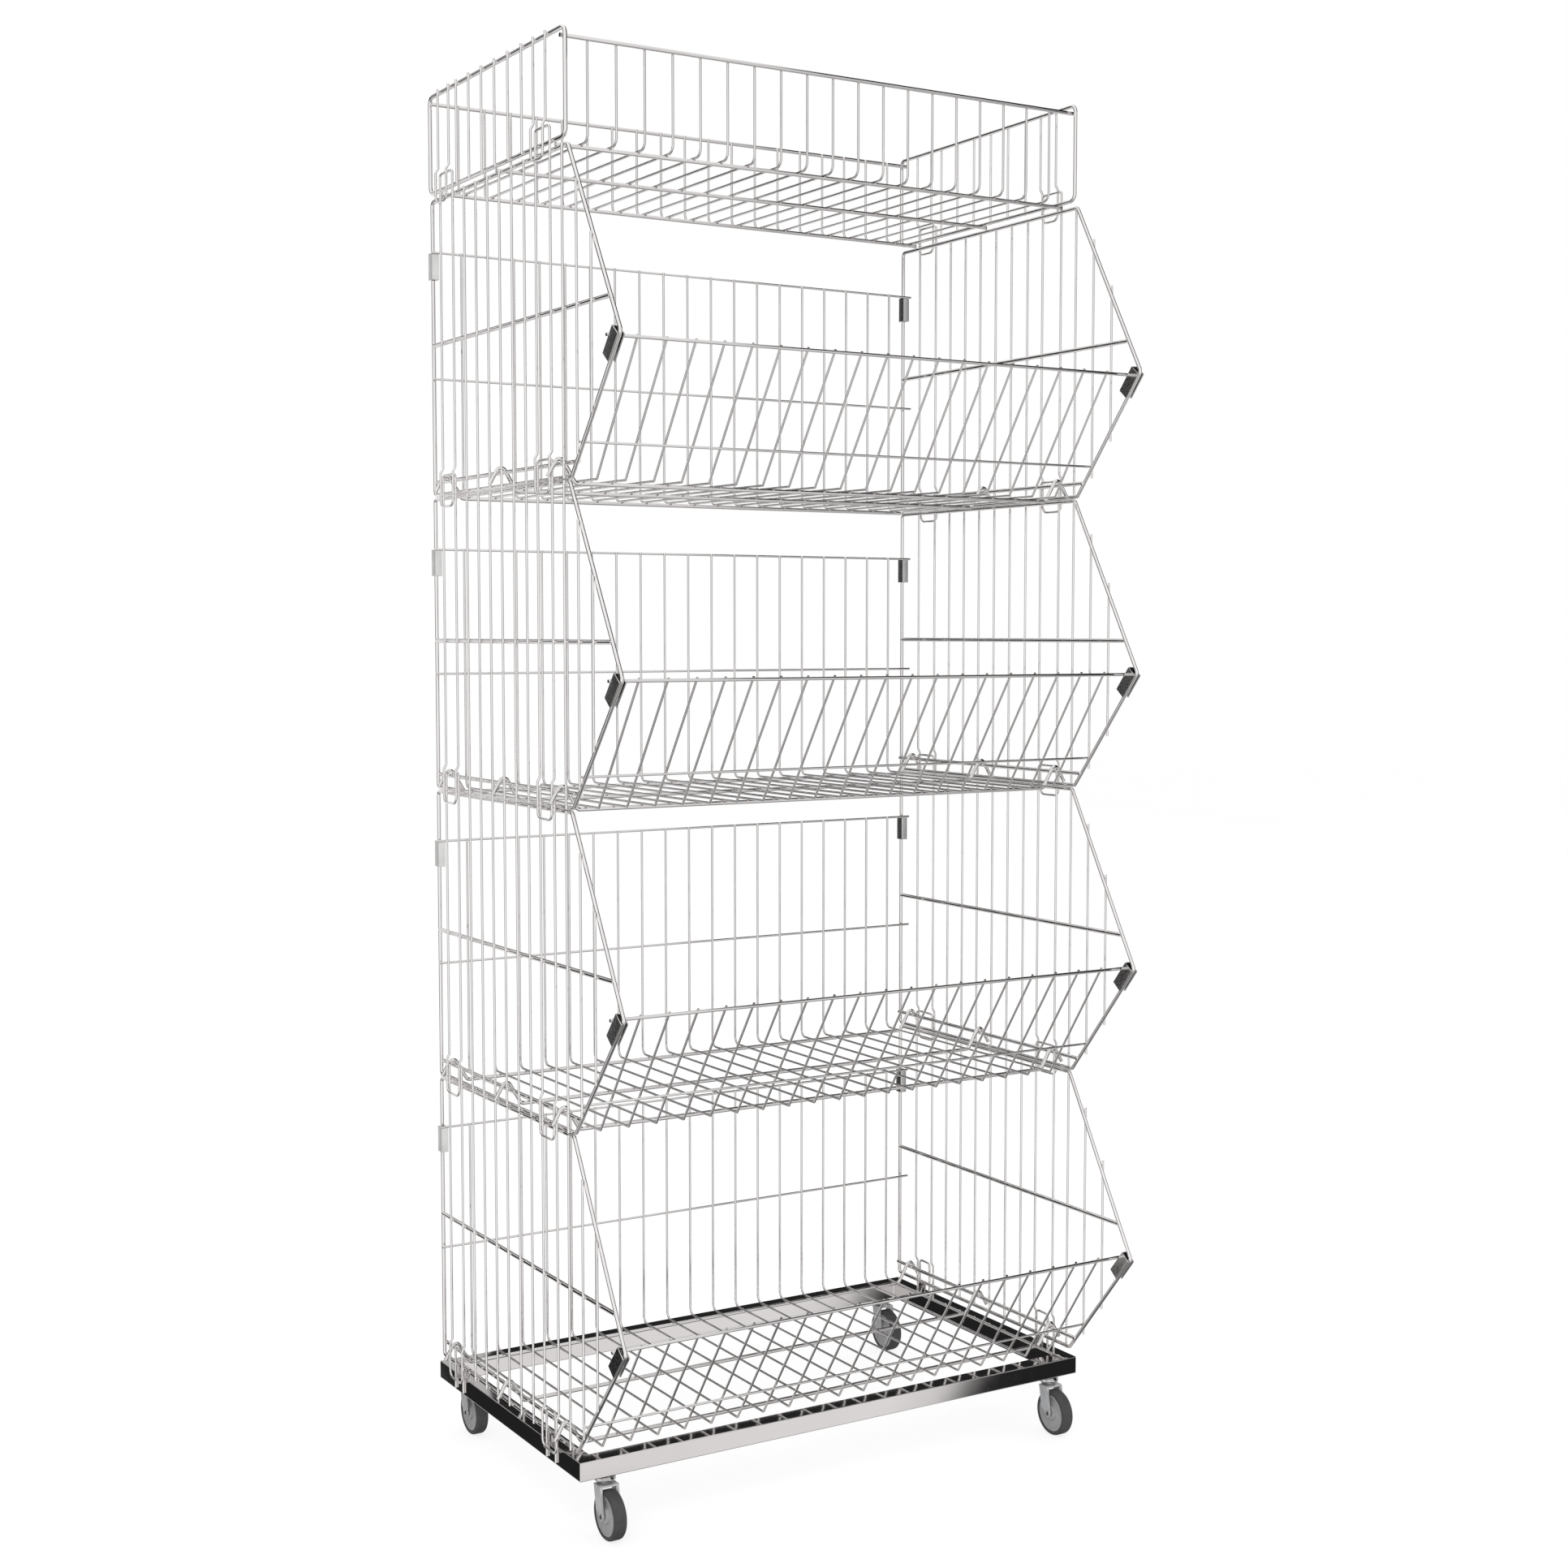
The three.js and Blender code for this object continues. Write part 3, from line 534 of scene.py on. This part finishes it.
# %% Clips
FOLD_SOFTNESS = 0.4
FLAT_ANGLE = math.radians(1)


def soften(node, name, material, body):
    sheet = bmesh.new()
    sheet.from_mesh(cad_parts[node].data)
    bmesh.ops.remove_doubles(sheet, verts=sheet.verts, dist=MERGE)
    bmesh.ops.dissolve_limit(sheet, angle_limit=FLAT_ANGLE, verts=sheet.verts, edges=sheet.edges)
    bmesh.ops.bevel(
        sheet, geom=sheet.edges[:], offset=FOLD_SOFTNESS / MM_PER_M, affect="EDGES", segments=2,
        profile=0.5, material=-1, clamp_overlap=True)
    put(name, sheet, material, body, [node], flats=True)


clip_count = 0
for tier in TIERS:
    for place in ("front", "rear"):
        for side, _ in HANDS:
            node = f"{place}_clip_{side}_{tier}"
            name = f"sheet_clip_{place}_{side}_{tier}"
            soften(node, name, clip_steel, f"basket_{tier}")
            clip_count += 1
print("clips softened:", clip_count)

# %% [markdown]
# ## The base
# The base is a welded ring of square tube, polished like a mirror. A flat rectangle is inset by the width of
# the tube, the middle is taken out, and the ring that is left is raised to the height of the tube. Drawn
# tube has rounded edges, so every edge is bevelled.

# %% Base ring
BASE_X = 369.9
BASE_REAR_Y = 9.3
BASE_FRONT_Y = -418.6
BASE_TOP_Z = -5.3
TUBE = 23.0
TUBE_EDGE = 1.2
CORNER_ANGLE = 0.5
base = bmesh.new()
middle = Matrix.Translation(spot(0, (BASE_REAR_Y + BASE_FRONT_Y) / 2, BASE_TOP_Z - TUBE))
plan = Matrix.Diagonal((2 * BASE_X / MM_PER_M, (BASE_REAR_Y - BASE_FRONT_Y) / MM_PER_M, 1, 1))
bmesh.ops.create_grid(base, x_segments=1, y_segments=1, size=0.5, matrix=middle @ plan)
inset = bmesh.ops.inset_region(
    base, faces=base.faces[:], thickness=TUBE / MM_PER_M, use_boundary=True, use_even_offset=True)
inside = [face for face in base.faces if face not in inset["faces"]]
bmesh.ops.delete(base, geom=inside, context="FACES")
raised = bmesh.ops.extrude_face_region(base, geom=base.faces[:])["geom"]
raised_points = [item for item in raised if isinstance(item, bmesh.types.BMVert)]
bmesh.ops.translate(base, verts=raised_points, vec=(0, 0, TUBE / MM_PER_M))
bmesh.ops.recalc_face_normals(base, faces=base.faces)
corners = [e for e in base.edges if len(e.link_faces) == 2 and e.calc_face_angle() > CORNER_ANGLE]
bmesh.ops.bevel(
    base, geom=corners, offset=TUBE_EDGE / MM_PER_M, affect="EDGES", segments=3, profile=0.5,
    material=-1, clamp_overlap=True)
print("base ring faces:", len(base.faces))

# %% [markdown]
# The four hairpins that guide the lowest basket are welded to the outside of the ring, and short seats stand
# on top behind them. The seats belong to the same welded piece, so they join the ring's mesh.

# %% Base hairpins and seats
PIN_Y = (-60.0, -342.0)
PIN_HALF = 12.5
PIN_FOOT_Z = -24.7
PIN_TOP_Z = 35.0
PIN_BEND = 5
SEAT_MIDDLE_Z = -1.6
SEAT_SIZE = Vector((3, 14, 8.2)) / MM_PER_M
pins = []
for _, hand in HANDS:
    for y in PIN_Y:
        seat = Matrix.Translation(spot(hand * SIDE_X, y, SEAT_MIDDLE_Z)) @ Matrix.Diagonal((*SEAT_SIZE, 1))
        bmesh.ops.create_cube(base, size=1.0, matrix=seat)
        x = hand * LOOP_X
        rear = y + PIN_HALF
        front = y - PIN_HALF
        line = [
            spot(x, rear, PIN_FOOT_Z), spot(x, rear, PIN_TOP_Z), spot(x, front, PIN_TOP_Z),
            spot(x, front, PIN_FOOT_Z)]
        pins.append((bend(line, PIN_BEND), WIRE, False))
put("tube_base", base, base_mirror, "base", ["base_frame"], flats=True)
wires("base_hairpins", pins, chrome_wire, "base", [])
print("base hairpins:", len(pins))

# %% [markdown]
# ## Castors
# A castor is mostly turned shapes: a pressed head with a ball race, a wheel core, a tyre and an axle, all
# made by spinning a profile round an axis. The fork is two plates under a bridge, with a small return along
# the front edge, and is softened in the same way as the clips.

# %% A helper for turned shapes
TURN_STEPS = 48
TYRE_STEPS = 64
AXLE_STEPS = 24
NO_LENGTH = 1e-7
UP = Vector((0, 0, 1))
ALONG = Vector((1, 0, 0))


def turned(profile, centre, axis, steps=TURN_STEPS):
    # profile holds (radius, height along the axis) in millimetres
    shape = bmesh.new()
    side = UP if axis == ALONG else ALONG
    ring = [shape.verts.new(centre + (side * r + axis * h) / MM_PER_M) for r, h in profile]
    edges = [shape.edges.new((ring[i], ring[(i + 1) % len(ring)])) for i in range(len(ring))]
    bmesh.ops.spin(
        shape, geom=ring + edges, cent=centre, axis=axis, angle=2 * math.pi, steps=steps, use_merge=True)
    bmesh.ops.remove_doubles(shape, verts=shape.verts, dist=MERGE)
    bmesh.ops.dissolve_degenerate(shape, edges=shape.edges, dist=NO_LENGTH)
    return shape


# %% Profiles of a castor
HEAD = [(3, 0), (10.4, 0), (12.2, -0.8), (13.2, -2.4), (13.2, -5.2), (12.4, -6.2), (11.6, -5.9)]
HEAD += [(10.9, -6.2), (10.7, -7.4), (9.8, -9.0), (9.2, -9.6), (3, -9.6)]
TYRE = [(24.6, 8.25), (26.6, 8.25), (28.3, 7.7), (29.3, 6.5), (29.65, 5)]
TYRE += [(r, -h) for r, h in reversed(TYRE)]
CORE = [(3.3, 8.5), (8.2, 8.5), (9, 7.8), (9.4, 6), (10.4, 5), (20, 5), (21, 5.8), (21.4, 7.25)]
CORE += [(24.3, 7.25)]
CORE += [(r, -h) for r, h in reversed(CORE)]
AXLE = [(0, 9), (2.1, 9), (2.1, 13), (2.7, 13.3), (3.4, 13.1), (3.6, 12.6), (3, 12.5)]
AXLE += [(r, -h) for r, h in reversed(AXLE)]
print("points of a head, a tyre, a core, an axle:", len(HEAD), len(TYRE), len(CORE), len(AXLE))

# %% The four castors
CASTOR_ROWS = (("front", -407.1), ("rear", -2.2))
CASTOR_X = 332.0
HEAD_TOP_Z = -28.6
TRAIL = 14.3
HUB_Z = -73.6
for row, y in CASTOR_ROWS:
    for side, hand in HANDS:
        corner = f"{row}_{side}"
        fork_body = f"castor_{corner}"
        wheel_body = f"wheel_{corner}"
        x = hand * CASTOR_X
        hub = spot(x, y - TRAIL, HUB_Z)
        head = turned(HEAD, spot(x, y, HEAD_TOP_Z), UP)
        put(f"race_head_{corner}", head, head_chrome, "base", [f"castor_head_{corner}"])
        tyre = turned(TYRE, hub, ALONG, TYRE_STEPS)
        put(f"rubber_tyre_{corner}", tyre, tyre_rubber, wheel_body, [f"tyre_{corner}"])
        core = turned(CORE, hub, ALONG)
        put(f"moulded_core_{corner}", core, core_plastic, wheel_body, [f"wheel_core_{corner}"])
        axle = turned(AXLE, hub, ALONG, AXLE_STEPS)
        put(f"tube_axle_{corner}", axle, axle_zinc, fork_body, [f"castor_axle_{corner}"])
        soften(f"castor_fork_{corner}", f"pressed_fork_{corner}", fork_zinc, fork_body)
print("castors made:", len(CASTOR_ROWS) * len(HANDS))

# %% [markdown]
# ## Floor and room
# The room is white and the floor is pale, so that only the object has any colour. The camera and the bright
# metals see the room as plain white, and it lights everything else a little less.

# %% Room
ROOM_SEEN = 1.0
ROOM_LIGHT = 0.85
world = bpy.data.worlds.new("white_room")
bpy.context.scene.world = world
world.use_nodes = True
room = world.node_tree.nodes
join = world.node_tree.links
room["Background"].inputs["Color"].default_value = (1.0, 1.0, 1.0, 1.0)
ray = room.new("ShaderNodeLightPath")
direct = room.new("ShaderNodeMath")
direct.operation = "MAXIMUM"
join.new(ray.outputs["Is Camera Ray"], direct.inputs[0])
join.new(ray.outputs["Is Glossy Ray"], direct.inputs[1])
level = room.new("ShaderNodeMapRange")
level.inputs["To Min"].default_value = ROOM_LIGHT
level.inputs["To Max"].default_value = ROOM_SEEN
join.new(direct.outputs[0], level.inputs["Value"])
join.new(level.outputs["Result"], room["Background"].inputs["Strength"])
print("room is white, strength", ROOM_SEEN)


# %% [markdown]
# The floor mixes a white glow with a real diffuse surface: the diffuse part is what keeps the soft shadow
# under the castors. The same helper lays the floor and, further on, makes the cards.

# %% A helper for flat sheets
def sheet_of(name, where, glossy_only=False):
    sheet = bmesh.new()
    bmesh.ops.create_grid(sheet, x_segments=1, y_segments=1, size=0.5)
    mesh = bpy.data.meshes.new(name)
    sheet.to_mesh(mesh)
    sheet.free()
    board = bpy.data.objects.new(name, mesh)
    board.matrix_world = where
    board.visible_camera = not glossy_only
    board.visible_diffuse = not glossy_only
    board.visible_shadow = not glossy_only
    bpy.context.scene.collection.objects.link(board)
    look = bpy.data.materials.new(name)
    look.use_nodes = True
    mesh.materials.append(look)
    return board, look.node_tree.nodes, look.node_tree.links


# %% Floor
FLOOR_WIDTH = 80
FLOOR_TONE = 0.9
FLOOR_ROUGHNESS = 0.9
GLOW = 1.07
GLOW_SHARE = 0.75
floor, pale, pale_links = sheet_of("pale_floor", Matrix.Diagonal((FLOOR_WIDTH, FLOOR_WIDTH, 1, 1)))
floor.visible_glossy = False
pale["Principled BSDF"].inputs["Base Color"].default_value = (*[FLOOR_TONE] * 3, 1.0)
pale["Principled BSDF"].inputs["Roughness"].default_value = FLOOR_ROUGHNESS
glow = pale.new("ShaderNodeEmission")
glow.inputs["Strength"].default_value = GLOW
sight = pale.new("ShaderNodeLightPath")
share = pale.new("ShaderNodeMath")
share.operation = "MULTIPLY"
share.inputs[1].default_value = GLOW_SHARE
pale_links.new(sight.outputs["Is Camera Ray"], share.inputs[0])
blend = pale.new("ShaderNodeMixShader")
pale_links.new(share.outputs[0], blend.inputs["Fac"])
pale_links.new(pale["Principled BSDF"].outputs["BSDF"], blend.inputs[1])
pale_links.new(glow.outputs["Emission"], blend.inputs[2])
pale_links.new(blend.outputs["Shader"], pale["Material Output"].inputs["Surface"])
print("floor laid, metres wide:", FLOOR_WIDTH)

# %% [markdown]
# ## Cards for the chrome
# Chrome in an all-white room would vanish against it. A photographer sets dark cards out of the picture, and
# the metal draws them as dark streaks. Here cards stand to the rear left, the front right, the rear right,
# the right and behind, and a round one that fades outwards lies far below. The low ones blacken the base's
# sides, and the high ones draw streaks on the level rods but not on the upright wires. Only reflections see
# them, so they take no light.


# %% A helper for cards
def card(name, where, kind, stops):
    # stops holds (place on the fade, grey) from its start to its end
    _, nodes, links = sheet_of(name, where, True)
    place = nodes.new("ShaderNodeTexCoord")
    fade = nodes.new("ShaderNodeTexGradient")
    fade.gradient_type = kind
    ramp = nodes.new("ShaderNodeValToRGB")
    for stop, (position, shade) in zip(ramp.color_ramp.elements, (stops[0], stops[-1])):
        stop.position = position
        stop.color = (*[shade] * 3, 1.0)
    for position, shade in stops[1:-1]:
        ramp.color_ramp.elements.new(position).color = (*[shade] * 3, 1.0)
    move = nodes.new("ShaderNodeMapping")
    if kind == "LINEAR":
        move.inputs["Location"].default_value = (0.5, 0, 0)
    else:
        move.inputs["Scale"].default_value = (2, 2, 2)
    shine = nodes.new("ShaderNodeEmission")
    links.new(place.outputs["Object"], move.inputs["Vector"])
    links.new(move.outputs["Vector"], fade.inputs["Vector"])
    links.new(fade.outputs["Fac"], ramp.inputs["Fac"])
    links.new(ramp.outputs["Color"], shine.inputs["Color"])
    links.new(shine.outputs["Emission"], nodes["Material Output"].inputs["Surface"])


def standing(bearing, distance, width, height, z):
    # bearing in degrees, clockwise from the rear seen from above; the rest in metres
    turn = math.radians(bearing)
    place = Matrix.Translation((distance * math.sin(turn), distance * math.cos(turn), z))
    upright = Matrix.Rotation(-turn, 4, "Z") @ Matrix.Rotation(math.pi / 2, 4, "X")
    return place @ upright @ Matrix.Diagonal((width, height, 1, 1))


# %% [markdown]
# The fade of a standing card runs along its width. Each card is black where the metal should turn black, and
# the place of the edge between black and pale decides which wires show it.

# %% Standing cards
BLACK = 0.02
card(
    "card_rear_left", standing(bearing=-43, distance=7.0, width=7.0, height=6.9, z=1.95), "LINEAR",
    [(0.0, BLACK), (0.77, BLACK), (0.82, 0.75), (1.0, 0.95)])
card(
    "card_low_left", standing(bearing=-43, distance=7.0, width=7.0, height=3.1, z=-3.05), "LINEAR",
    [(0.0, BLACK), (0.84, BLACK), (1.0, 0.6)])
card(
    "card_front_right", standing(bearing=130, distance=7.0, width=6.8, height=7.1, z=1.85), "LINEAR",
    [(0.0, BLACK), (0.68, BLACK), (0.71, 0.65), (1.0, 0.9)])
card(
    "card_low_right", standing(bearing=130, distance=7.0, width=6.8, height=2.9, z=-3.15), "LINEAR",
    [(0.0, BLACK), (0.733, BLACK), (0.745, 0.2), (0.765, 0.85), (0.8, 1.0)])
card(
    "card_rear_right", standing(bearing=40, distance=7.0, width=5.0, height=2.6, z=2.9), "LINEAR",
    [(0.0, BLACK), (1.0, BLACK)])
card(
    "card_behind", standing(bearing=31, distance=9.0, width=9.0, height=9.0, z=0.5), "LINEAR",
    [(0.0, 0.6), (1.0, 0.6)])
print("cards standing to the left, the right and behind: 6")

# %% The round cards, a white band and a high card
side_on = Matrix.Rotation(math.pi / 2, 4, "Y")
below = Matrix.Translation((0, 0, -3.0)) @ Matrix.Diagonal((16, 16, 1, 1))
far_right = Matrix.Translation((7.5, 0, 0.9)) @ side_on @ Matrix.Diagonal((29, 29, 1, 1))
before_it = Matrix.Translation((7.0, 3.6, 0.9)) @ side_on @ Matrix.Diagonal((6, 11, 1, 1))
card("card_below", below, "SPHERICAL", [(0.0, 1.0), (0.55, 0.55), (0.9, 0.06)])
card("card_right", far_right, "SPHERICAL", [(0.0, 1.0), (0.03, 0.9), (0.08, BLACK)])
card("card_right_band", before_it, "LINEAR", [(0.0, 1.0), (1.0, 1.0)])
card(
    "card_high_behind", standing(bearing=0, distance=8.0, width=7.0, height=2.6, z=5.4), "LINEAR",
    [(0.0, 0.05), (1.0, 0.05)])
print("cards in all: 10")

# %% [markdown]
# ## Lamps
# Two large soft lamps light the wheels and give the floor its shadow: a key from the left of the camera and
# a weaker fill from the right. Reflections don't see them, or they would burn white streaks into the wires.

# %% Lamps
LAMP_AIM = Vector((0, 0, 0.9))


def lamp(name, place, size, power):
    light = bpy.data.lights.new(name, "AREA")
    light.size = size
    light.energy = power
    holder = bpy.data.objects.new(name, light)
    holder.location = place
    holder.visible_glossy = False
    holder.rotation_euler = (LAMP_AIM - Vector(place)).to_track_quat("-Z", "Y").to_euler()
    bpy.context.scene.collection.objects.link(holder)


lamp("key", place=(-3.0, -3.5, 4.0), size=3.0, power=110)
lamp("fill", place=(3.5, -2.5, 2.5), size=3.0, power=40)
print("lamps placed:", len(bpy.data.lights))
